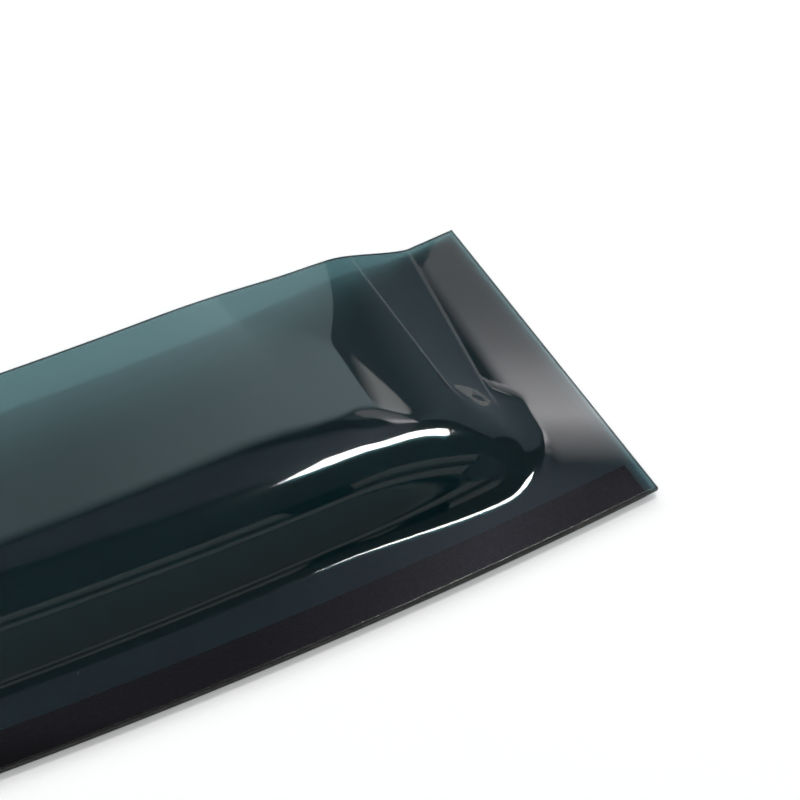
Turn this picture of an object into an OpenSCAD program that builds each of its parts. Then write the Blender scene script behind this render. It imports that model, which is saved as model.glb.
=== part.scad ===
// Window rain deflector for a car door: one formed acrylic sheet on a strip of foam tape

/* [Outline] */
// Straight length from end to end
length = 560; // [420:5:700]
// Sweep radius of the mounting edge
edge_radius = 1480; // [1200:10:2400]
// Width from the mounting edge to the drip edge along the body
width = 105.5; // [98:0.5:130]
// Width across each end flange
end_width = 101.5; // [92:0.5:105]
// Thickness of the acrylic sheet
sheet = 2; // [1.5:0.1:3]

/* [Crown] */
// Distance from the mounting edge to the foot of the front wall
wall_setback = 23; // [20:0.5:28]
// Slope of the front wall at its foot, in degrees
wall_angle = 51.5; // [46:0.5:58]
// Radius of the broad shoulder over the front wall
shoulder_radius = 35; // [30:0.5:40]
// Slope at which the shoulder runs out, in degrees
crest_angle = 13; // [10:1:16]
// Distance from the mounting edge to the crest
crest_setback = 38; // [36:0.5:44]
// Rise of the crest over the flange along the body
crest_rise = 11; // [10:0.5:13]
// Rise of the crest over the flange at the top of the end ramp
crest_end_rise = 7.5; // [6:0.1:9]
// Distance from the end at which the crest is level
crest_run = 64.5; // [60:0.5:95]
// Rise of the drip edge over the flange along the body
drip_rise = 9; // [7:0.2:10]
// Rise of the drip edge over the flange at the top of the end ramp
drip_end_rise = 3.3; // [2:0.1:5]
// Distance from the end at which the drip edge is level
drip_run = 95; // [80:1:130]
// Rounding between the shoulder and the blade
crest_blend = 5.4; // [3:0.2:7]

/* [Nose and end ramp] */
// Plan radius of the nose where the front wall turns to the end
nose_radius = 12.5; // [10:0.5:16]
// Rounding along the foot of the nose
foot_blend = 11; // [8:0.5:14]
// Rounding along the foot of the front wall, away from the nose
body_foot_blend = 6; // [4:0.5:10]
// Rounding over the top of the nose
nose_blend = 5.6; // [3:0.2:7]
// Length of the end flange at the drip edge
end_flange = 15.8; // [12:0.2:20]
// Length of the end flange at the nose
nose_flange = 23.5; // [21:0.5:25]
// Distance from the end to the top of the ramp
ramp_top = 33; // [30:0.5:38]
// Distance from the end to the top of the nose
nose_top = 29.5; // [28:0.5:32]
// Distance over which the two ramp creases soften into the nose
crease_fade = 16; // [10:1:20]
// Rounding left on the two ramp creases
crease_edge = 0.15; // [0.05:0.05:0.6]

/* [Foam tape] */
// Width of the tape
tape_width = 10.2; // [6:0.2:11]
// Thickness of the tape
tape = 1; // [0.8:0.1:1.6]
// Distance from the mounting edge to the tape
tape_inset = 0.6; // [0.2:0.1:1.5]
// Distance from each end to the tape
tape_end_gap = 3.2; // [1:0.2:8]

/* [Hidden] */

acrylic = [0.10, 0.17, 0.19];
foam = [0.13, 0.13, 0.15];

// Half of the mounting edge, as an angle and along the arc
half_angle = asin(length / 2 / edge_radius);
half_arc = edge_radius * half_angle * PI / 180;

// Depth of the outline, which places the origin in the middle of the box
depth = edge_radius - (edge_radius - end_width) * cos(half_angle);

flange_top = tape + sheet;
// Middle of the nose's round corner, from the mounting edge and from the end
nose_middle = wall_setback + nose_radius;
nose_centre = nose_flange + nose_radius;
// Distance from the end at which both the crest and the drip edge are level
fall_run = max(crest_run, drip_run);
// Small distance for the slope of the face
step = sheet / 20;

// Mesh steps: flange, ramp, falling stretch and level stretch, then foot, wall and blade
flange_shares = [0, 0.4, 0.68, 0.84, 0.93];
ramp_steps = 6;
fall_steps = 16;
level_steps = 5;
land_steps = 2;
wall_steps = 18;
blade_steps = 10;
fall_growth = 1.4;
blade_growth = 1.4;

function mix(a, b, t) = a + (b - a) * t;

// Eased share of the way from a to b
function ease(a, b, x) = let(t = max(0, min(1, (x - a) / (b - a)))) t * t * (3 - 2 * t);

// Lower and higher of two heights with their meeting rounded over k
function soft_min(a, b, k) =
    let(h = max(0, min(1, (1 + (b - a) / k) / 2)))
    mix(b, a, h) - k * h * (1 - h);
function soft_max(a, b, k) = -soft_min(-a, -b, k);

// Width of the outline at a distance s from the end
function width_at(s) = mix(end_width, width, ease(end_flange * 0.9, ramp_top * 1.2, s));

// Height that falls from its level value to a lower one at the top of the ramp
function fall(s, run, level, low) =
    let(
        u = max(0, min(1, (s - ramp_top) / (run - ramp_top))),
        slope = 2 * (level - low) / (run - ramp_top)
    )
    low + (level - low) * (1 - (1 - u) * (1 - u)) + min(0, s - ramp_top) * slope;

// Blade: straight from the crest down to the drip edge, and on up past the crest
function blade(s, v) =
    let(
        crest = fall(s, crest_run, crest_rise, crest_end_rise),
        drip = fall(s, drip_run, drip_rise, drip_end_rise)
    )
    crest + (drip - crest) * (v - crest_setback) / (width_at(s) - crest_setback);

// Foot and top of the end ramp, as distances from the end
function ramp_foot(v) = mix(nose_flange, end_flange, (v - nose_middle) / (end_width - nose_middle));
function crease_share(v) = ease(nose_middle, nose_middle + crease_fade, v);
function ramp_head(v) = mix(nose_top, ramp_top, crease_share(v));
function ramp_slope(v) = blade(ramp_top, max(v, crest_setback * 0.8)) / (ramp_head(v) - ramp_foot(v));

// Front wall: a straight run into the foot, one broad arc, and a straight run out over the blade
function front_wall(d) =
    let(
        reach = shoulder_radius * (sin(wall_angle) - sin(crest_angle)),
        x = shoulder_radius * sin(wall_angle) - max(0, min(reach, d)),
        arc = sqrt(shoulder_radius * shoulder_radius - x * x) - shoulder_radius * cos(wall_angle)
    )
    arc + min(0, d) * tan(wall_angle) + max(0, d - reach) * tan(crest_angle);

// Walls round the blade: front, nose and end ramp
function walls(s, v) =
    let(
        foot = ramp_foot(max(v, nose_middle)),
        ds = max(0, nose_centre - s),
        dv = max(0, nose_middle - v),
        round_in = nose_radius - norm([ds, dv]),
        turn = 1 - ease(0, 90, atan2(dv, max(ds, step))),
        front = front_wall(v - wall_setback),
        cap_blend = nose_blend * 1.3
    )
    ds > 0 && dv > 0
        ? mix(front_wall(round_in), soft_min(ramp_slope(nose_middle) * round_in, front, cap_blend), turn)
        : dv > 0
            ? front
            : soft_min(ramp_slope(v) * (s - foot), front,
                mix(cap_blend, crease_edge, ease(nose_middle, nose_middle + 1.5 * crease_fade, v)));

// Rise of the sheet's outer face over the flange
function rise(s, v) =
    let(
        crease = crease_share(v),
        body = ease(nose_centre, nose_centre + nose_flange, s),
        foot_share = ease(nose_centre, nose_centre + 2 * nose_flange, s),
        foot = mix(foot_blend, body_foot_blend, foot_share),
        side = soft_max(walls(s, v), 0, mix(foot, crease_edge, crease * (1 - body))),
        top_blend = mix(mix(nose_blend, crease_edge, crease), crest_blend, body)
    )
    max(0, soft_min(side, blade(s, v), top_blend));

// Point of the outer face, with x towards the end and y towards the drip edge
function outer(s, v) =
    let(a = half_angle - s / edge_radius * 180 / PI, r = edge_radius - v)
    [r * sin(a), edge_radius - r * cos(a) - depth / 2, flange_top + rise(s, v)];

// Direction out of the face
function outward(s, v) =
    let(
        along = outer(s - step, v) - outer(s + step, v),
        across = outer(s, v + step) - outer(s, v - step),
        n = cross(along, across)
    )
    n / norm(n);

function inner(s, v) = outer(s, v) - sheet * outward(s, v);

// Stations along one half, from the end to the middle
flange_count = len(flange_shares);
column_count = flange_count + ramp_steps + fall_steps + level_steps;
function column(i, v) =
    let(
        foot = ramp_foot(v),
        head = ramp_head(v),
        j = i - flange_count,
        k = j - ramp_steps,
        m = k - fall_steps
    )
    i < flange_count ? foot * flange_shares[i]
        : j < ramp_steps ? mix(foot, head, j / ramp_steps)
        : k < fall_steps ? mix(head, fall_run, pow(k / fall_steps, fall_growth))
        : mix(fall_run, half_arc, m / level_steps);

// Stations across, from the mounting edge to the drip edge
row_count = land_steps + wall_steps + blade_steps;
land = wall_setback - foot_blend / tan(wall_angle);
function row(j, w) =
    let(k = j - land_steps, m = k - wall_steps)
    j < land_steps ? land * j / land_steps
        : k < wall_steps ? mix(land, crest_setback, k / wall_steps)
        : mix(crest_setback, w, pow(m / blade_steps, blade_growth));

// The outline widens along the ramp, so a station is found from the drip edge's width
function station(i, j) =
    let(edge = width_at(column(i, end_width)), v = row(j, edge))
    [column(i, v), v];

// Both halves of a skin: a column past the middle is its twin, flipped
function flip(p) = [-p[0], p[1], p[2]];
function both_halves(half) = concat(
    [for (points = half) each points],
    [for (i = [column_count - 1:-1:0]) each [for (p = half[i]) flip(p)]]
);

// The sheet: an outer skin, an inner skin one thickness below it, and the rim between them
module visor_shell() {
    columns = 2 * column_count + 1;
    rows = row_count + 1;
    stations = [for (i = [0:column_count]) [for (j = [0:row_count]) station(i, j)]];
    top = both_halves([for (line = stations) [for (t = line) outer(t[0], t[1])]]);
    under = both_halves([for (line = stations) [for (t = line) inner(t[0], t[1])]]);
    skin = columns * rows;
    function at(i, j) = i * rows + j;
    quads = [
        for (i = [0:columns - 2]) for (j = [0:rows - 2])
            [at(i, j), at(i, j + 1), at(i + 1, j + 1), at(i + 1, j)]
    ];
    rim = concat(
        [for (i = [0:columns - 2]) [at(i, 0), at(i + 1, 0)]],
        [for (j = [0:rows - 2]) [at(columns - 1, j), at(columns - 1, j + 1)]],
        [for (i = [columns - 1:-1:1]) [at(i, rows - 1), at(i - 1, rows - 1)]],
        [for (j = [rows - 1:-1:1]) [at(0, j), at(0, j - 1)]]
    );
    faces = concat(
        [for (q = quads) [q[0], q[1], q[2]]],
        [for (q = quads) [q[0], q[2], q[3]]],
        [for (q = quads) [q[2] + skin, q[1] + skin, q[0] + skin]],
        [for (q = quads) [q[3] + skin, q[2] + skin, q[0] + skin]],
        [for (e = rim) [e[0], e[1], e[1] + skin]],
        [for (e = rim) [e[0], e[1] + skin, e[0] + skin]]
    );
    color(acrylic) polyhedron(points = concat(top, under), faces = faces);
}

// Foam strip under the flange, along the mounting edge
module mounting_tape() {
    tape_angle = half_angle - tape_end_gap / edge_radius * 180 / PI;
    color(foam)
        translate([0, edge_radius - depth / 2, 0])
            rotate([0, 0, -90 - tape_angle])
                rotate_extrude(angle = 2 * tape_angle, $fn = 720)
                    translate([edge_radius - tape_inset - tape_width, 0])
                        square([tape_width, tape]);
}

visor_shell();
mounting_tape();
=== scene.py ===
"""Window rain deflector for a car door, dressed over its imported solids."""

import logging
import math
from dataclasses import dataclass, field
from enum import Enum

import bmesh
import bpy
import numpy as np
from mathutils import Matrix, Vector


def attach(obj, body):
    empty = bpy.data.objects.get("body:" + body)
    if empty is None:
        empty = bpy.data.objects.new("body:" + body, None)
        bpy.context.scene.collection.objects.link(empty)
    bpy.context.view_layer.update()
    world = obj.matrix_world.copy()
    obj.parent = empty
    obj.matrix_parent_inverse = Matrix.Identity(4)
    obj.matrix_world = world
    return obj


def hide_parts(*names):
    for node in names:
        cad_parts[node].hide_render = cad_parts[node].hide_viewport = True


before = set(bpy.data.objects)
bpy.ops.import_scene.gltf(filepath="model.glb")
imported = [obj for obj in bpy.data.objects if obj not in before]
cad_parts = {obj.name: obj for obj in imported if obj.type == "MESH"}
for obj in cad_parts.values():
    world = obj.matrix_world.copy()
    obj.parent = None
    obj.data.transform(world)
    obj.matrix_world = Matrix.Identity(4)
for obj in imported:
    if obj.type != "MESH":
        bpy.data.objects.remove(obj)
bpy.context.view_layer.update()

MM = 0.001
BODY = "root"
CREASE_LINE = "crease_line"
CUT_EDGE = "cut_edge"
WHITE = (1.0, 1.0, 1.0, 1.0)
SENSOR_WIDTH = 36.0

log = logging.getLogger("deflector")


def mix(a: np.ndarray, b: np.ndarray, t: np.ndarray) -> np.ndarray:
    """Returns the value at share t of the way from a to b."""
    return a + (b - a) * t


def ease(a: float, b: float, x: np.ndarray) -> np.ndarray:
    """Returns the eased share of the way from a to b at x."""
    t = np.clip((x - a) / (b - a), 0, 1)
    return t * t * (3 - 2 * t)


def soft_min(a: np.ndarray, b: np.ndarray, k: np.ndarray) -> np.ndarray:
    """Returns the lower of two heights, with their meeting rounded over k."""
    h = np.clip((1 + (b - a) / k) / 2, 0, 1)
    return mix(b, a, h) - k * h * (1 - h)


def soft_max(a: np.ndarray, b: np.ndarray, k: np.ndarray) -> np.ndarray:
    """Returns the higher of two heights, with their meeting rounded over k."""
    return -soft_min(-a, -b, k)


def crowded(count: int, start: float, end: float) -> np.ndarray:
    """Shares from 0 to 1 that lie closer together at the ends.

    Args:
        count: The number of steps.
        start: How strongly they crowd at 0, from 0 to 1.
        end: How strongly they crowd at 1, from 0 to 1.

    Returns:
        The shares, one more than the steps.
    """
    t = np.linspace(0, 1, count + 1)
    wave = np.sin(2 * np.pi * t) / (2 * np.pi)
    return t - wave * mix(start, end, t)


@dataclass(frozen=True)
class SheetForm:
    """Sizes and form of the acrylic sheet, in millimetres, as its solid has them.

    A place on the sheet is given by s, the distance from its end along the mounting edge,
    and v, the distance from the mounting edge.
    """

    length: float = 560.0
    edge_radius: float = 1480.0
    width: float = 105.5
    end_width: float = 101.5
    sheet: float = 2.0
    tape: float = 1.0
    wall_setback: float = 23.0
    wall_angle: float = 51.5
    shoulder_radius: float = 35.0
    crest_angle: float = 13.0
    crest_setback: float = 38.0
    crest_rise: float = 11.0
    crest_end_rise: float = 7.5
    crest_run: float = 64.5
    drip_rise: float = 9.0
    drip_end_rise: float = 3.3
    drip_run: float = 95.0
    crest_blend: float = 5.4
    nose_radius: float = 12.5
    foot_blend: float = 11.0
    body_foot_blend: float = 6.0
    nose_blend: float = 5.6
    end_flange: float = 15.8
    nose_flange: float = 23.5
    ramp_top: float = 33.0
    nose_top: float = 29.5
    crease_fade: float = 16.0
    crease_edge: float = 0.15

    @property
    def half_angle(self) -> float:
        """Half of the mounting edge, as an angle in radians."""
        return math.asin(self.length / 2 / self.edge_radius)

    @property
    def half_arc(self) -> float:
        """Half of the mounting edge, along its arc."""
        return self.edge_radius * self.half_angle

    @property
    def depth(self) -> float:
        """Depth of the outline, which places the origin in the middle of the box."""
        return self.edge_radius - (self.edge_radius - self.end_width) * math.cos(self.half_angle)

    @property
    def fall_run(self) -> float:
        """Distance from the end at which both the crest and the drip edge are level."""
        return max(self.crest_run, self.drip_run)

    @property
    def land(self) -> float:
        """Distance from the mounting edge at which the front wall starts to rise."""
        return self.wall_setback - self.foot_blend / math.tan(math.radians(self.wall_angle))

    @property
    def flange_top(self) -> float:
        """Height of the flange's outer face."""
        return self.tape + self.sheet

    @property
    def nose_middle(self) -> float:
        """Middle of the nose's round corner, from the mounting edge."""
        return self.wall_setback + self.nose_radius

    @property
    def nose_centre(self) -> float:
        """Middle of the nose's round corner, from the end."""
        return self.nose_flange + self.nose_radius

    def width_at(self, s: np.ndarray) -> np.ndarray:
        """Returns the width of the outline at s."""
        return mix(self.end_width, self.width, ease(self.end_flange * 0.9, self.ramp_top * 1.2, s))

    def fall(self, s: np.ndarray, run: float, level: float, low: float) -> np.ndarray:
        """Returns a height that falls from level at run to low at the top of the ramp."""
        u = np.clip((s - self.ramp_top) / (run - self.ramp_top), 0, 1)
        slope = 2 * (level - low) / (run - self.ramp_top)
        return low + (level - low) * (1 - (1 - u) ** 2) + np.minimum(0, s - self.ramp_top) * slope

    def blade(self, s: np.ndarray, v: np.ndarray) -> np.ndarray:
        """Returns the rise of the blade, straight from the crest down to the drip edge."""
        crest = self.fall(s, self.crest_run, self.crest_rise, self.crest_end_rise)
        drip = self.fall(s, self.drip_run, self.drip_rise, self.drip_end_rise)
        share = (v - self.crest_setback) / (self.width_at(s) - self.crest_setback)
        return crest + (drip - crest) * share

    def ramp_foot(self, v: np.ndarray) -> np.ndarray:
        """Returns the distance of the ramp's foot from the end."""
        share = (v - self.nose_middle) / (self.end_width - self.nose_middle)
        return mix(self.nose_flange, self.end_flange, share)

    def crease_share(self, v: np.ndarray) -> np.ndarray:
        """Returns 0 on the nose and 1 where the ramp's creases are sharp."""
        return ease(self.nose_middle, self.nose_middle + self.crease_fade, v)

    def ramp_head(self, v: np.ndarray) -> np.ndarray:
        """Returns the distance of the ramp's top from the end."""
        return mix(self.nose_top, self.ramp_top, self.crease_share(v))

    def ramp_slope(self, v: np.ndarray) -> np.ndarray:
        """Returns the slope of the end ramp."""
        top = self.blade(np.full_like(v, self.ramp_top), np.maximum(v, self.crest_setback * 0.8))
        return top / (self.ramp_head(v) - self.ramp_foot(v))

    def front_wall(self, d: np.ndarray) -> np.ndarray:
        """Returns the rise of the front wall at a distance d behind its foot."""
        radius = self.shoulder_radius
        foot, top = math.radians(self.wall_angle), math.radians(self.crest_angle)
        reach = radius * (math.sin(foot) - math.sin(top))
        x = radius * math.sin(foot) - np.clip(d, 0, reach)
        arc = np.sqrt(radius * radius - x * x) - radius * math.cos(foot)
        return arc + np.minimum(d, 0) * math.tan(foot) + np.maximum(d - reach, 0) * math.tan(top)

    def walls(self, s: np.ndarray, v: np.ndarray) -> np.ndarray:
        """Returns the height of the walls round the blade: front, nose and end ramp."""
        middle = np.full_like(v, self.nose_middle)
        foot = self.ramp_foot(np.maximum(v, middle))
        ds = np.maximum(0, self.nose_centre - s)
        dv = np.maximum(0, self.nose_middle - v)
        round_in = self.nose_radius - np.hypot(ds, dv)
        turn = 1 - ease(0, 90, np.degrees(np.arctan2(dv, np.maximum(ds, self.sheet / 20))))
        front = self.front_wall(v - self.wall_setback)
        cap_blend = self.nose_blend * 1.3
        end_wall = soft_min(self.ramp_slope(middle) * round_in, front, np.full_like(v, cap_blend))
        nose = mix(self.front_wall(round_in), end_wall, turn)
        sharp = ease(self.nose_middle, self.nose_middle + 1.5 * self.crease_fade, v)
        ramp = soft_min(self.ramp_slope(v) * (s - foot), front, mix(cap_blend, self.crease_edge, sharp))
        return np.where((ds > 0) & (dv > 0), nose, np.where(dv > 0, front, ramp))

    def rise(self, s: np.ndarray, v: np.ndarray) -> np.ndarray:
        """Returns the rise of the sheet's outer face over the flange."""
        crease = self.crease_share(v)
        body = ease(self.nose_centre, self.nose_centre + self.nose_flange, s)
        foot_share = ease(self.nose_centre, self.nose_centre + 2 * self.nose_flange, s)
        foot_blend = mix(self.foot_blend, self.body_foot_blend, foot_share)
        foot_blend = mix(foot_blend, self.crease_edge, crease * (1 - body))
        side = soft_max(self.walls(s, v), np.zeros_like(v), foot_blend)
        top_blend = mix(mix(self.nose_blend, self.crease_edge, crease), self.crest_blend, body)
        return np.maximum(0, soft_min(side, self.blade(s, v), top_blend))

    def place(self, s: np.ndarray, v: np.ndarray, z: np.ndarray) -> np.ndarray:
        """Returns the points at s, v and height z, in the row frame."""
        a, r = self.half_angle - s / self.edge_radius, self.edge_radius - v
        return np.stack([r * np.sin(a), self.edge_radius - r * np.cos(a) - self.depth / 2, z + 0 * a], -1)

    def outer(self, s: np.ndarray, v: np.ndarray) -> np.ndarray:
        """Returns the points of the outer face at s and v."""
        return self.place(s, v, self.flange_top + self.rise(s, v))

    def outward(self, s: np.ndarray, v: np.ndarray) -> np.ndarray:
        """Returns the direction out of the face at s and v."""
        step = self.sheet / 20
        along = self.outer(s - step, v) - self.outer(s + step, v)
        across = self.outer(s, v + step) - self.outer(s, v - step)
        n = np.cross(along, across)
        return n / np.linalg.norm(n, axis=-1, keepdims=True)


class Finish(Enum):
    """The record's material slots."""

    ACRYLIC = "acrylic"
    FOAM = "foam_tape"


def new_material(name: str) -> tuple[bpy.types.Material, bpy.types.NodeTree]:
    """Makes an empty material.

    Args:
        name: The material's name.

    Returns:
        The material and its node tree, with no nodes.
    """
    material = bpy.data.materials.new(name)
    material.use_nodes = True
    material.node_tree.nodes.clear()
    return material, material.node_tree


def add_math(tree: bpy.types.NodeTree, operation: str, *given: object) -> bpy.types.NodeSocket:
    """Adds a math node.

    Args:
        tree: The node tree.
        operation: The node's operation, such as MULTIPLY.
        given: What goes into each input, a value or another node's output.

    Returns:
        The node's output.
    """
    node = tree.nodes.new("ShaderNodeMath")
    node.operation = operation
    for socket, value in zip(node.inputs, given):
        if isinstance(value, bpy.types.NodeSocket):
            tree.links.new(value, socket)
        else:
            socket.default_value = value
    return node.outputs[0]


def add_range(
    tree: bpy.types.NodeTree, value: bpy.types.NodeSocket, low: float, high: float
) -> bpy.types.NodeSocket:
    """Adds a node that turns a value from low to high into a share from 0 to 1.

    Args:
        tree: The node tree.
        value: The output to take the value from.
        low: The value for 0.
        high: The value for 1.

    Returns:
        The node's output.
    """
    node = tree.nodes.new("ShaderNodeMapRange")
    node.inputs["From Min"].default_value = low
    node.inputs["From Max"].default_value = high
    tree.links.new(value, node.inputs["Value"])
    return node.outputs["Result"]


def add_socket(group: bpy.types.NodeTree, name: str, way: str, kind: str, value: float = 0.0) -> None:
    """Adds a named input or output to a node group.

    Args:
        group: The node group.
        name: The socket's name.
        way: INPUT or OUTPUT.
        kind: The socket's type without its prefix, such as Float.
        value: The starting value of a float input.
    """
    made = group.interface.new_socket(name=name, in_out=way, socket_type="NodeSocket" + kind)
    if kind == "Float":
        made.default_value = value


@dataclass(frozen=True)
class Dust:
    """Dust specks and fine wiping marks, as a node group that both finishes share.

    A speck is the inner part of a cell: it fades from speck_core to speck_edge, as shares of
    the cell's size. A mark is where stretched noise lies between mark_low and mark_high.
    """

    speck_core: float = 0.045
    speck_edge: float = 0.075
    mark_stretch: tuple[float, float, float] = (0.25, 1.0, 1.0)
    mark_turn: tuple[float, float, float] = (0.0, 0.0, 0.25)
    mark_scale: float = 320.0
    mark_detail: float = 3.0
    mark_low: float = 0.52
    mark_high: float = 0.78

    def group(self) -> bpy.types.NodeTree:
        """Builds the node group.

        Returns:
            A group with inputs Scale, Specks and Marks, and outputs Speck and Mark, both from 0 to 1.
        """
        group = bpy.data.node_groups.new("surface_dust", "ShaderNodeTree")
        add_socket(group, "Scale", "INPUT", "Float", 120.0)
        add_socket(group, "Specks", "INPUT", "Float", 0.1)
        add_socket(group, "Marks", "INPUT", "Float", 0.5)
        add_socket(group, "Speck", "OUTPUT", "Float")
        add_socket(group, "Mark", "OUTPUT", "Float")
        nodes, links = group.nodes, group.links
        inside, outside = nodes.new("NodeGroupInput"), nodes.new("NodeGroupOutput")
        coords = nodes.new("ShaderNodeTexCoord")
        cells = nodes.new("ShaderNodeTexVoronoi")
        links.new(coords.outputs["Object"], cells.inputs["Vector"])
        links.new(inside.outputs["Scale"], cells.inputs["Scale"])
        near = add_range(group, cells.outputs["Distance"], self.speck_edge, self.speck_core)
        pick = nodes.new("ShaderNodeSeparateColor")
        links.new(cells.outputs["Color"], pick.inputs["Color"])
        chosen = add_math(group, "LESS_THAN", pick.outputs["Red"], inside.outputs["Specks"])
        links.new(add_math(group, "MULTIPLY", near, chosen), outside.inputs["Speck"])
        stretch = nodes.new("ShaderNodeMapping")
        stretch.inputs["Scale"].default_value = self.mark_stretch
        stretch.inputs["Rotation"].default_value = self.mark_turn
        links.new(coords.outputs["Object"], stretch.inputs["Vector"])
        lines = nodes.new("ShaderNodeTexNoise")
        lines.inputs["Scale"].default_value = self.mark_scale
        lines.inputs["Detail"].default_value = self.mark_detail
        links.new(stretch.outputs["Vector"], lines.inputs["Vector"])
        thin = add_range(group, lines.outputs["Fac"], self.mark_low, self.mark_high)
        links.new(add_math(group, "MULTIPLY", thin, inside.outputs["Marks"]), outside.inputs["Mark"])
        return group


@dataclass(frozen=True)
class TintedAcrylic:
    """Smoke tinted clear acrylic, with a faint waviness from forming and a little dust."""

    name: str = "tinted_acrylic"
    ior: float = 1.49
    roughness: float = 0.012
    speck_roughness: float = 0.35
    mark_roughness: float = 0.03
    cut_roughness: float = 0.3
    coat: float = 0.12
    coat_roughness: float = 0.1
    shade: tuple[float, float, float] = (0.13, 0.15, 0.2)
    tint: tuple[float, float, float] = (0.02, 0.348, 0.38)
    crease_white: float = 0.07
    crease_colour: tuple[float, float, float] = (0.85, 0.9, 0.9)
    density: float = 1075.0
    dust_scale: float = 150.0
    dust_share: float = 0.012
    wave_scale: float = 22.0
    wave_height: float = 0.008

    def material(self, dust: bpy.types.NodeTree) -> bpy.types.Material:
        """Builds the material.

        Args:
            dust: The dust node group.

        Returns:
            The material, with a plain volume absorption for its tint.
        """
        material, tree = new_material(self.name)
        nodes, links = tree.nodes, tree.links
        out = nodes.new("ShaderNodeOutputMaterial")
        glass = nodes.new("ShaderNodeBsdfPrincipled")
        glass.inputs["Base Color"].default_value = WHITE
        glass.inputs["IOR"].default_value = self.ior
        glass.inputs["Transmission Weight"].default_value = 1.0
        glass.inputs["Coat Weight"].default_value = self.coat
        glass.inputs["Coat Roughness"].default_value = self.coat_roughness
        glass.inputs["Coat IOR"].default_value = self.ior
        grime = nodes.new("ShaderNodeGroup")
        grime.node_tree = dust
        grime.inputs["Scale"].default_value = self.dust_scale
        grime.inputs["Specks"].default_value = self.dust_share
        grime.inputs["Marks"].default_value = 1.0
        edge = nodes.new("ShaderNodeAttribute")
        edge.attribute_name = CUT_EDGE
        rough = add_math(tree, "MULTIPLY_ADD", grime.outputs["Speck"], self.speck_roughness, self.roughness)
        rough = add_math(tree, "MULTIPLY_ADD", grime.outputs["Mark"], self.mark_roughness, rough)
        rough = add_math(tree, "MULTIPLY_ADD", edge.outputs["Fac"], self.cut_roughness, rough)
        links.new(rough, glass.inputs["Roughness"])
        coords = nodes.new("ShaderNodeTexCoord")
        waves = nodes.new("ShaderNodeTexNoise")
        waves.inputs["Scale"].default_value = self.wave_scale
        waves.inputs["Detail"].default_value = 1.0
        links.new(coords.outputs["Object"], waves.inputs["Vector"])
        bump = nodes.new("ShaderNodeBump")
        bump.inputs["Distance"].default_value = self.wave_height * MM
        links.new(waves.outputs["Fac"], bump.inputs["Height"])
        links.new(bump.outputs["Normal"], glass.inputs["Normal"])
        # A white diffuse surface is mixed in along the two creases, where it draws thin pale lines.
        line = nodes.new("ShaderNodeAttribute")
        line.attribute_name = CREASE_LINE
        haze = nodes.new("ShaderNodeBsdfDiffuse")
        haze.inputs["Color"].default_value = (*self.crease_colour, 1.0)
        body = nodes.new("ShaderNodeMixShader")
        links.new(add_math(tree, "MULTIPLY", line.outputs["Fac"], self.crease_white), body.inputs[0])
        links.new(glass.outputs["BSDF"], body.inputs[1])
        links.new(haze.outputs["BSDF"], body.inputs[2])
        clear = nodes.new("ShaderNodeBsdfTransparent")
        clear.inputs["Color"].default_value = (*self.shade, 1.0)
        path = nodes.new("ShaderNodeLightPath")
        lit = nodes.new("ShaderNodeMixShader")
        links.new(path.outputs["Is Shadow Ray"], lit.inputs[0])
        links.new(body.outputs["Shader"], lit.inputs[1])
        links.new(clear.outputs["BSDF"], lit.inputs[2])
        links.new(lit.outputs["Shader"], out.inputs["Surface"])
        smoke = nodes.new("ShaderNodeVolumeAbsorption")
        smoke.inputs["Color"].default_value = (*self.tint, 1.0)
        smoke.inputs["Density"].default_value = self.density
        links.new(smoke.outputs["Volume"], out.inputs["Volume"])
        return material


@dataclass(frozen=True)
class TapeFoam:
    """Dark closed-cell foam of the mounting tape."""

    name: str = "tape_foam"
    colour: tuple[float, float, float] = (0.135, 0.1, 0.1)
    cell_colour: tuple[float, float, float] = (0.095, 0.071, 0.071)
    cell_scale: float = 1900.0
    cell_depth: float = 0.05
    roughness: float = 0.75
    speck_roughness: float = 0.1
    dust_scale: float = 400.0
    dust_share: float = 0.1

    def material(self, dust: bpy.types.NodeTree) -> bpy.types.Material:
        """Builds the material.

        Args:
            dust: The dust node group.

        Returns:
            The material.
        """
        material, tree = new_material(self.name)
        nodes, links = tree.nodes, tree.links
        out = nodes.new("ShaderNodeOutputMaterial")
        foam = nodes.new("ShaderNodeBsdfPrincipled")
        coords = nodes.new("ShaderNodeTexCoord")
        cells = nodes.new("ShaderNodeTexVoronoi")
        cells.inputs["Scale"].default_value = self.cell_scale
        links.new(coords.outputs["Object"], cells.inputs["Vector"])
        tone = nodes.new("ShaderNodeMix")
        tone.data_type = "RGBA"
        tone.inputs["A"].default_value = (*self.cell_colour, 1.0)
        tone.inputs["B"].default_value = (*self.colour, 1.0)
        links.new(cells.outputs["Distance"], tone.inputs["Factor"])
        links.new(tone.outputs["Result"], foam.inputs["Base Color"])
        grime = nodes.new("ShaderNodeGroup")
        grime.node_tree = dust
        grime.inputs["Scale"].default_value = self.dust_scale
        grime.inputs["Specks"].default_value = self.dust_share
        rough = add_math(tree, "MULTIPLY_ADD", grime.outputs["Speck"], self.speck_roughness, self.roughness)
        links.new(rough, foam.inputs["Roughness"])
        bump = nodes.new("ShaderNodeBump")
        bump.inputs["Distance"].default_value = self.cell_depth * MM
        links.new(cells.outputs["Distance"], bump.inputs["Height"])
        links.new(bump.outputs["Normal"], foam.inputs["Normal"])
        links.new(foam.outputs["BSDF"], out.inputs["Surface"])
        return material


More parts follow.
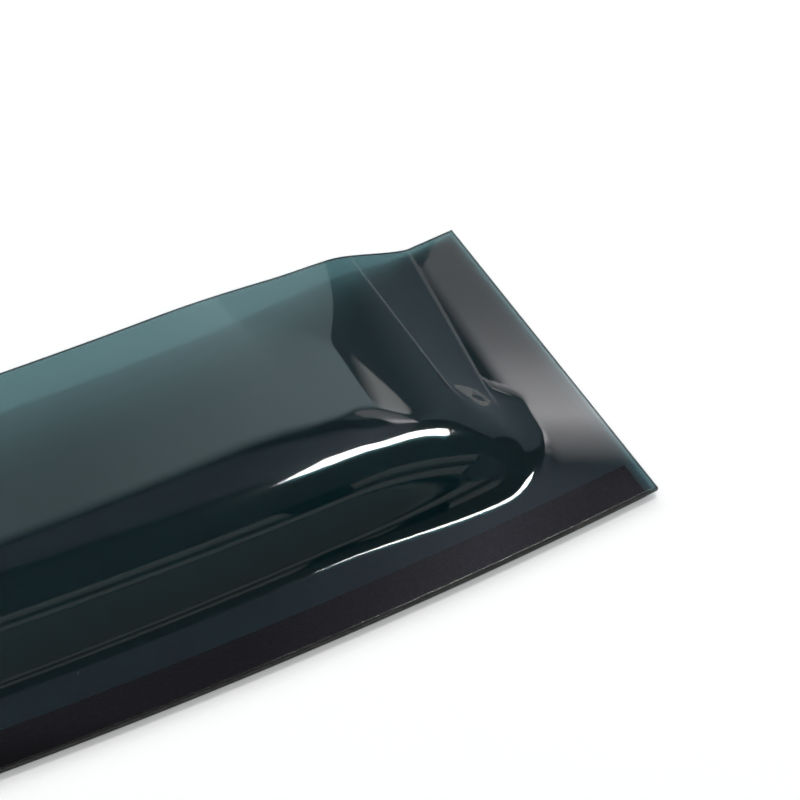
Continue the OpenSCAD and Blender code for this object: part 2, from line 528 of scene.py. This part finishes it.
def add_piece(name: str, points: np.ndarray, faces: list[tuple[int, ...]]) -> bpy.types.Object:
    """Makes a closed, smooth shaded piece.

    Args:
        name: The piece's name.
        points: Its points in millimetres, in the row frame.
        faces: Its faces, as point numbers.

    Returns:
        The piece, linked to the scene.
    """
    mesh = bpy.data.meshes.new(name)
    mesh.from_pydata((points * MM).tolist(), [], faces)
    mesh.update()
    shape = bmesh.new()
    shape.from_mesh(mesh)
    bmesh.ops.recalc_face_normals(shape, faces=shape.faces)
    shape.to_mesh(mesh)
    shape.free()
    mesh.polygons.foreach_set("use_smooth", np.ones(len(mesh.polygons), bool))
    piece = bpy.data.objects.new(name, mesh)
    bpy.context.scene.collection.objects.link(piece)
    return piece


@dataclass
class AcrylicVisor:
    """The formed sheet: two skins and a rounded rim."""

    form: SheetForm = field(default_factory=SheetForm)
    finish: TintedAcrylic = field(default_factory=TintedAcrylic)
    rim_radius: float = 0.5
    rim_steps: int = 6
    rim_hold: float = 0.08
    line_width: float = 0.2
    line_starts: tuple[float, float] = (3.0, 6.0)
    line_fade: float = 9.0
    flange_steps: int = 26
    ramp_steps: int = 40
    fall_steps: int = 70
    level_steps: int = 24
    land_steps: int = 8
    wall_steps: int = 60
    blade_steps: int = 44

    def stations(self) -> tuple[np.ndarray, np.ndarray]:
        """Lays a grid over one half of the sheet, with its lines along the two creases.

        Returns:
            The distances s and v of each grid point, with a row for each column of the grid.
        """
        f, r = self.form, self.rim_radius
        flange = crowded(self.flange_steps, 0.6, 0.85)[:-1]
        ramp = crowded(self.ramp_steps, 0.85, 0.85)[:-1]
        fall = crowded(self.fall_steps, 0.9, 0.0)[:-1]
        level = np.linspace(0, 1, self.level_steps + 1)

        def along(v: np.ndarray) -> np.ndarray:
            foot, head = f.ramp_foot(v), f.ramp_head(v)
            end, run = np.full_like(v, r), np.full_like(v, f.fall_run)
            inside = end + self.rim_hold
            parts = (
                (end, inside, np.zeros(1)), (inside, foot, flange), (foot, head, ramp),
                (head, run, fall), (run, np.full_like(v, f.half_arc), level),
            )
            rows, start = [], 0
            for low, high, shares in parts:
                span = slice(start, start + len(shares))
                rows.append(mix(low[span], high[span], shares[:, None]))
                start += len(shares)
            return np.concatenate(rows)

        count = 1 + len(flange) + len(ramp) + len(fall) + len(level)
        edge = along(np.full((count, 1), f.end_width))
        wide = f.width_at(edge) - r
        land = np.full_like(wide, f.land)
        crest = np.full_like(wide, f.crest_setback)
        v = np.concatenate([
            np.full_like(wide, r),
            mix(r + self.rim_hold, land, np.linspace(0, 1, self.land_steps + 1)[None, :-1]),
            mix(land, crest, np.linspace(0, 1, self.wall_steps + 1)[None, :-1]),
            mix(crest, wide - self.rim_hold, crowded(self.blade_steps, 0.9, 0.6)[None, :]),
            wide,
        ], axis=1)
        return along(v), v

    def crease_lines(self) -> np.ndarray:
        """Returns how white each point of the outer face is along the two creases, over both halves."""
        f = self.form
        s, v = self.stations()
        white = np.zeros_like(s)
        for line, start in zip((f.ramp_foot(v), f.ramp_head(v)), self.line_starts):
            begin = f.nose_middle + start
            across = np.exp(-((s - line) / self.line_width) ** 2)
            white = np.maximum(white, across * ease(begin, begin + self.line_fade, v))
        return np.concatenate([white, white[-2::-1]])

    def skins(self) -> tuple[np.ndarray, np.ndarray]:
        """Returns the outer face's points and outward directions, over both halves."""
        s, v = self.stations()
        outer, outward = self.form.outer(s, v), self.form.outward(s, v)
        flip = np.array([-1.0, 1.0, 1.0])
        return (np.concatenate([outer, outer[-2::-1] * flip]),
                np.concatenate([outward, outward[-2::-1] * flip]))

    def ring(self, grid: np.ndarray) -> np.ndarray:
        """Returns the values of a grid along its border, once round."""
        return np.concatenate([grid[:-1, 0], grid[-1, :-1], grid[:0:-1, -1], grid[0, :0:-1]])

    def rim(self, outer: np.ndarray, outward: np.ndarray) -> list[np.ndarray]:
        """Rounds the cut edge of the sheet.

        Args:
            outer: The outer face's points.
            outward: Its outward directions.

        Returns:
            The rings of points from the outer face's border to the inner face's.
        """
        edge, up = self.ring(outer), self.ring(outward)
        ahead, behind = np.roll(edge, -1, 0) - edge, edge - np.roll(edge, 1, 0)
        sides = []
        for way in (ahead, behind):
            side = np.cross(way, up)
            sides.append(side / np.linalg.norm(side, axis=-1, keepdims=True))
        square = (sides[0] * sides[1]).sum(-1, keepdims=True) < 0.5
        out = np.where(square, sides[0] + sides[1], (sides[0] + sides[1]) / 2)
        middle = outer.reshape(-1, 3).mean(0)
        out *= np.sign(((edge - middle) * out).sum())
        r, rings = self.rim_radius, []
        quarter = np.linspace(0, np.pi / 2, self.rim_steps + 1)
        for a in quarter[1:]:
            rings.append(edge + r * np.sin(a) * out - r * (1 - np.cos(a)) * up)
        for a in quarter[:-1]:
            drop = self.form.sheet - r + r * np.sin(a)
            rings.append(edge + r * np.cos(a) * out - drop * up)
        return rings

    def build(self) -> bpy.types.Object:
        """Builds the sheet's mesh.

        Returns:
            The piece.
        """
        outer, outward = self.skins()
        inner = outer - self.form.sheet * outward
        columns, rows = outer.shape[:2]
        numbers = np.arange(columns * rows).reshape(columns, rows)
        a, b = numbers[:-1, :-1].ravel(), numbers[:-1, 1:].ravel()
        c, d = numbers[1:, 1:].ravel(), numbers[1:, :-1].ravel()
        top = np.stack([a, b, c, d], -1)
        under = top[:, ::-1] + columns * rows
        rings = self.rim(outer, outward)
        border = self.ring(numbers)
        count, first = len(border), 2 * columns * rows
        loops = [border] + [first + i * count + np.arange(count) for i in range(len(rings))]
        loops.append(border + columns * rows)
        walls = [
            np.stack([x, np.roll(x, -1), np.roll(y, -1), y], -1)
            for x, y in zip(loops, loops[1:])
        ]
        points = np.concatenate([outer.reshape(-1, 3), inner.reshape(-1, 3), *rings])
        faces = np.concatenate([top, under, *walls])
        piece = add_piece("acrylic_visor", points, [tuple(q) for q in faces.tolist()])
        white, cut = np.zeros(len(points), np.float32), np.zeros(len(points), np.float32)
        white[:columns * rows] = self.crease_lines().ravel()
        cut[first:] = 1.0
        cut[np.concatenate([border, border + columns * rows])] = 1.0
        for name, values in ((CREASE_LINE, white), (CUT_EDGE, cut)):
            piece.data.attributes.new(name, "FLOAT", "POINT").data.foreach_set("value", values)
        return piece

    def dress(self, piece: bpy.types.Object, dust: bpy.types.NodeTree) -> None:
        """Gives the sheet its finish and its place in the frame.

        Args:
            piece: The sheet.
            dust: The dust node group.
        """
        piece.data.materials.append(self.finish.material(dust))
        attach(piece, BODY)
        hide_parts("visor_shell")


@dataclass
class FoamStrip:
    """The foam tape under the flange."""

    form: SheetForm = field(default_factory=SheetForm)
    finish: TapeFoam = field(default_factory=TapeFoam)
    width: float = 10.2
    inset: float = 0.6
    end_gap: float = 3.2
    bulge: float = 0.12
    corner: float = 0.18
    corner_cut: float = 0.3
    steps: int = 240

    def section(self) -> np.ndarray:
        """Returns the tape's cross-section, as distances from its near side and heights."""
        c, w, t = self.corner, self.width, self.form.tape
        cut = c * self.corner_cut
        side = [(c, 0.0), (cut, cut), (0.0, c), (-self.bulge, t / 2), (0.0, t - c), (cut, t - cut), (c, t)]
        flat = [(w * share, t) for share in (0.25, 0.5, 0.75)]
        near = np.array(side + flat)
        far = np.array([(w - x, t - z) for x, z in side + flat])
        return np.concatenate([near, far])

    def build(self) -> bpy.types.Object:
        """Builds the tape's mesh.

        Returns:
            The piece.
        """
        profile, f = self.section(), self.form
        s = np.linspace(self.end_gap, 2 * f.half_arc - self.end_gap, self.steps + 1)
        v = self.inset + np.clip(profile[:, 0], -self.bulge, self.width + self.bulge)
        points = f.place(s[:, None], v[None, :], profile[None, :, 1])
        count = len(profile)
        faces = []
        for i in range(self.steps):
            for j in range(count):
                k = (j + 1) % count
                faces.append((i * count + j, i * count + k, (i + 1) * count + k, (i + 1) * count + j))
        faces.append(tuple(range(count)))
        faces.append(tuple(self.steps * count + j for j in range(count)))
        return add_piece("foam_strip", points.reshape(-1, 3), faces)

    def dress(self, piece: bpy.types.Object, dust: bpy.types.NodeTree) -> None:
        """Gives the tape its finish and its place in the frame.

        Args:
            piece: The tape.
            dust: The dust node group.
        """
        piece.data.materials.append(self.finish.material(dust))
        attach(piece, BODY)
        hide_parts("mounting_tape")


def direction(lift: float, swing: float) -> Vector:
    """Returns the unit vector at a lift over the far horizon and a swing to the right, in degrees."""
    e, a = math.radians(lift), math.radians(swing)
    return Vector((math.sin(a), math.cos(a) * math.cos(e), math.cos(a) * math.sin(e)))


@dataclass(frozen=True)
class Softbox:
    """A rectangular studio lamp, placed by the direction in which the object sees it.

    Lift is measured from the far horizon through the zenith, and swing to the right, both in
    degrees as the camera stands. Glow is the brightness of its face, where 1 is white.
    """

    name: str
    lift: float
    swing: float
    tall: float
    wide: float
    glow: float
    seen: bool = True
    reach: float = 3.0


@dataclass(frozen=True)
class Card:
    """A pale card that the sheet mirrors.

    Corners are the directions of its lower left, lower right, upper right and upper left corner.
    Levels are its glow at shares of its height, from its lower edge, and one of them is over 0.
    Soft is the share of its width over which each side fades. Uneven shifts the levels by a
    cloudy noise, and reach is its distance from the object in metres.
    """

    name: str
    corners: tuple[tuple[float, float], ...]
    levels: tuple[tuple[float, float], ...]
    soft: float = 0.02
    colour: tuple[float, float, float] = (1.0, 1.0, 1.0)
    uneven: float = 0.0
    cloud_scale: float = 9.0
    reach: float = 3.0


@dataclass
class Studio:
    """The floor, the lamps, the world and the camera."""

    target: tuple[float, float, float] = (0.22811, 0.01391, 0.0)
    heading: float = 19.56
    elevation: float = 52.5
    distance: float = 0.63158
    lens: float = 108.0
    near_clip: float = 0.01
    floor_size: float = 6.0
    floor_colour: float = 0.8
    floor_glow: float = 0.26
    world_glow: float = 0.1
    lamps: tuple[Softbox, ...] = (
        Softbox("key_lamp", 63.2, 9.0, 4.6, 16.0, 34.0),
        Softbox("key_fill", 63.2, 9.0, 9.0, 16.0, 9.0, False),
        Softbox("far_sky", 34.0, 0.0, 28.0, 100.0, 3.1, False),
        Softbox("ceiling", 95.0, 0.0, 60.0, 70.0, 0.48, False),
    )
    cards: tuple[Card, ...] = (
        Card(
            "backdrop", ((10.0, -17.0), (60.7, -17.0), (52.6, -2.0), (10.0, -2.0)),
            ((0.0, 0.95), (0.45, 1.0), (0.72, 1.45), (1.0, 1.75)),
            soft=0.065, colour=(0.8, 1.0, 1.05),
        ),
        Card(
            "backdrop_side", ((10.0, -2.0), (10.0, 2.9), (46.0, 2.9), (52.6, -2.0)),
            ((0.0, 1.2), (0.76, 1.22), (0.84, 1.75), (0.93, 1.8), (1.0, 0.0)),
            soft=0.001, colour=(0.8, 1.0, 1.05),
        ),
        Card(
            "bright_gap", ((38.7, 4.0), (38.7, 7.5), (45.0, 7.0), (45.0, 1.5)),
            ((0.0, 0.0), (0.06, 2.2), (0.5, 2.8), (0.9, 3.0), (1.0, 0.0)),
            soft=0.25,
        ),
        Card(
            "far_wall", ((-5.0, -3.0), (51.5, -3.0), (51.5, 40.0), (-5.0, 40.0)),
            ((0.0, 0.45), (0.1, 0.45), (0.14, 0.24), (0.24, 0.24), (0.32, 0.5), (1.0, 0.45)),
            colour=(0.85, 1.0, 1.15), reach=5.0,
        ),
        Card(
            "window", ((46.0, -1.6), (46.0, 5.0), (54.4, 10.0), (54.4, 4.4)),
            ((0.0, 1.3), (0.45, 1.4), (0.6, 2.2), (0.68, 3.6), (0.83, 6.0), (0.9, 3.0), (1.0, 0.2)),
            soft=0.08, colour=(1.0, 0.96, 0.99),
        ),
        Card(
            "haze", ((53.4, -14.0), (64.5, -14.0), (61.8, 9.0), (53.4, 9.0)),
            ((0.0, 0.3), (0.42, 0.28), (0.58, 0.42), (0.72, 0.7), (0.85, 0.45), (1.0, 0.5)),
            soft=0.2, colour=(0.9, 0.9, 1.1), reach=3.1,
        ),
        Card(
            "room", ((93.0, -60.0), (93.0, 75.0), (160.0, 75.0), (160.0, -60.0)),
            ((0.0, 0.68), (0.05, 0.53), (0.19, 0.43), (0.21, 0.15), (0.28, 0.12), (0.3, 0.02),
             (0.34, 0.48), (0.45, 0.53), (0.472, 0.0), (0.49, 0.0), (0.51, 0.38), (0.54, 0.23),
             (1.0, 0.2)),
            soft=0.01, colour=(1.0, 1.0, 0.96), uneven=0.02, reach=8.0,
        ),
        Card(
            "room_dark", ((88.0, 27.6), (88.0, 60.0), (119.0, 60.0), (119.0, 29.6)),
            ((0.0, 0.2), (1.0, 0.16)),
            colour=(0.9, 1.0, 1.1), reach=2.5,
        ),
        Card(
            "room_bar", ((90.0, 12.5), (90.0, 15.5), (126.0, 30.5), (126.0, 28.5)),
            ((0.0, 0.0), (1.0, 0.0001)),
        ),
    )

    def turn(self) -> Matrix:
        """Returns the turn from the camera's heading to the row frame."""
        return Matrix.Rotation(-math.radians(self.heading), 3, "Z")

    def add_floor(self) -> None:
        """Lays a pale floor that shows white and keeps the object's shadow."""
        half = self.floor_size / 2
        mesh = bpy.data.meshes.new("studio_floor")
        corners = [(-half, -half, 0), (half, -half, 0), (half, half, 0), (-half, half, 0)]
        mesh.from_pydata(corners, [], [(0, 1, 2, 3)])
        floor = bpy.data.objects.new("studio_floor", mesh)
        bpy.context.scene.collection.objects.link(floor)
        material, tree = new_material("studio_floor")
        nodes, links = tree.nodes, tree.links
        out = nodes.new("ShaderNodeOutputMaterial")
        paper = nodes.new("ShaderNodeBsdfDiffuse")
        paper.inputs["Color"].default_value = (*[self.floor_colour] * 3, 1.0)
        glow = nodes.new("ShaderNodeEmission")
        path = nodes.new("ShaderNodeLightPath")
        level = add_math(tree, "MULTIPLY", path.outputs["Is Camera Ray"], self.floor_glow)
        links.new(level, glow.inputs["Strength"])
        both = nodes.new("ShaderNodeAddShader")
        links.new(paper.outputs["BSDF"], both.inputs[0])
        links.new(glow.outputs["Emission"], both.inputs[1])
        links.new(both.outputs["Shader"], out.inputs["Surface"])
        mesh.materials.append(material)

    def add_lamp(self, box: Softbox) -> None:
        """Places one lamp.

        Args:
            box: The lamp's place, size and glow.
        """
        lift, swing = math.radians(box.lift), math.radians(box.swing)
        away = direction(box.lift, box.swing)
        right = Vector((
            math.cos(swing), -math.sin(swing) * math.cos(lift), -math.sin(swing) * math.sin(lift)
        ))
        turn = self.turn()
        lamp = bpy.data.lights.new(box.name, "AREA")
        lamp.shape = "RECTANGLE"
        lamp.size = 2 * box.reach * math.tan(math.radians(box.wide) / 2)
        lamp.size_y = 2 * box.reach * math.tan(math.radians(box.tall) / 2)
        lamp.energy = box.glow * math.pi * lamp.size * lamp.size_y
        holder = bpy.data.objects.new(box.name, lamp)
        bpy.context.scene.collection.objects.link(holder)
        axes = Matrix((turn @ right, turn @ away.cross(right), turn @ away)).transposed()
        place = Vector(self.target) + box.reach * (turn @ away)
        holder.matrix_world = Matrix.Translation(place) @ axes.to_4x4()
        holder.visible_camera = False
        holder.visible_glossy = box.seen
        holder.visible_transmission = box.seen

    def add_card(self, card: Card) -> None:
        """Places one card, which glows and which the camera doesn't see.

        Args:
            card: The card's corners, glow and colour.
        """
        turn, target = self.turn(), Vector(self.target)
        points = [target + card.reach * (turn @ direction(*corner)) for corner in card.corners]
        mesh = bpy.data.meshes.new(card.name)
        mesh.from_pydata(points, [], [(0, 1, 2, 3)])
        sheet = mesh.uv_layers.new(name="card")
        for corner, at in zip(sheet.data, ((0, 0), (1, 0), (1, 1), (0, 1))):
            corner.uv = at
        holder = bpy.data.objects.new(card.name, mesh)
        bpy.context.scene.collection.objects.link(holder)
        holder.visible_camera = False
        holder.visible_transmission = False
        holder.visible_shadow = False
        material, tree = new_material(card.name)
        nodes, links = tree.nodes, tree.links
        out = nodes.new("ShaderNodeOutputMaterial")
        glow = nodes.new("ShaderNodeEmission")
        glow.inputs["Color"].default_value = (*card.colour, 1.0)
        coords = nodes.new("ShaderNodeTexCoord")
        cloud = nodes.new("ShaderNodeTexNoise")
        cloud.inputs["Scale"].default_value = card.cloud_scale
        links.new(coords.outputs["UV"], cloud.inputs["Vector"])
        shift = nodes.new("ShaderNodeVectorMath")
        shift.operation = "MULTIPLY_ADD"
        shift.inputs[1].default_value = (card.uneven,) * 3
        links.new(cloud.outputs["Color"], shift.inputs[0])
        links.new(coords.outputs["UV"], shift.inputs[2])
        axes = nodes.new("ShaderNodeSeparateXYZ")
        links.new(shift.outputs["Vector"], axes.inputs["Vector"])
        most = max(level for _, level in card.levels)
        ramp = nodes.new("ShaderNodeValToRGB")
        stops = ramp.color_ramp.elements
        for stop, (share, level) in zip(stops, (card.levels[0], card.levels[-1])):
            stop.position = share
            stop.color = (*[level / most] * 3, 1.0)
        for share, level in card.levels[1:-1]:
            stops.new(share).color = (*[level / most] * 3, 1.0)
        links.new(axes.outputs["Y"], ramp.inputs["Fac"])
        left = add_range(tree, axes.outputs["X"], 0.0, card.soft)
        right = add_range(tree, axes.outputs["X"], 1.0, 1.0 - card.soft)
        level = add_math(tree, "MULTIPLY", ramp.outputs["Color"], add_math(tree, "MULTIPLY", left, right))
        links.new(add_math(tree, "MULTIPLY", level, most), glow.inputs["Strength"])
        links.new(glow.outputs["Emission"], out.inputs["Surface"])
        mesh.materials.append(material)

    def add_world(self) -> None:
        """Makes the world white to the camera and through the sheet, and dim as light."""
        world = bpy.data.worlds.new("studio")
        bpy.context.scene.world = world
        world.use_nodes = True
        tree = world.node_tree
        nodes, links = tree.nodes, tree.links
        nodes.clear()
        out = nodes.new("ShaderNodeOutputWorld")
        sky = nodes.new("ShaderNodeBackground")
        path = nodes.new("ShaderNodeLightPath")
        direct = add_math(tree, "LESS_THAN", path.outputs["Diffuse Depth"], 0.5)
        through = add_math(tree, "MULTIPLY", path.outputs["Is Transmission Ray"], direct)
        clear = add_math(tree, "MAXIMUM", path.outputs["Is Camera Ray"], through)
        level = nodes.new("ShaderNodeMapRange")
        level.inputs["To Min"].default_value = self.world_glow
        level.inputs["To Max"].default_value = 1.0
        links.new(clear, level.inputs["Value"])
        links.new(level.outputs["Result"], sky.inputs["Strength"])
        sky.inputs["Color"].default_value = WHITE
        links.new(sky.outputs["Background"], out.inputs["Surface"])

    def add_camera(self) -> None:
        """Sets the camera at the photograph's viewing angle."""
        rise = math.radians(self.elevation)
        back = self.turn() @ Vector((0.0, -math.cos(rise), math.sin(rise)))
        lens = bpy.data.cameras.new("camera")
        lens.lens = self.lens
        lens.sensor_width = SENSOR_WIDTH
        lens.clip_start = self.near_clip
        camera = bpy.data.objects.new("camera", lens)
        bpy.context.scene.collection.objects.link(camera)
        camera.location = Vector(self.target) + self.distance * back
        camera.rotation_euler = back.to_track_quat("Z", "Y").to_euler()
        bpy.context.scene.camera = camera

    def build(self) -> None:
        """Sets up the whole studio."""
        self.add_camera()
        self.add_floor()
        for box in self.lamps:
            self.add_lamp(box)
        for card in self.cards:
            self.add_card(card)
        self.add_world()
        bpy.context.scene.view_settings.view_transform = "Standard"


def main() -> None:
    """Builds the studio and every piece of the deflector."""
    logging.basicConfig(level=logging.INFO, format="%(message)s")
    Studio().build()
    dust = Dust().group()
    for part in (AcrylicVisor(), FoamStrip()):
        piece = part.build()
        part.dress(piece, dust)
        mesh = piece.data
        log.info("%s: %d points, %d faces", piece.name, len(mesh.vertices), len(mesh.polygons))


if __name__ == "__main__":
    main()
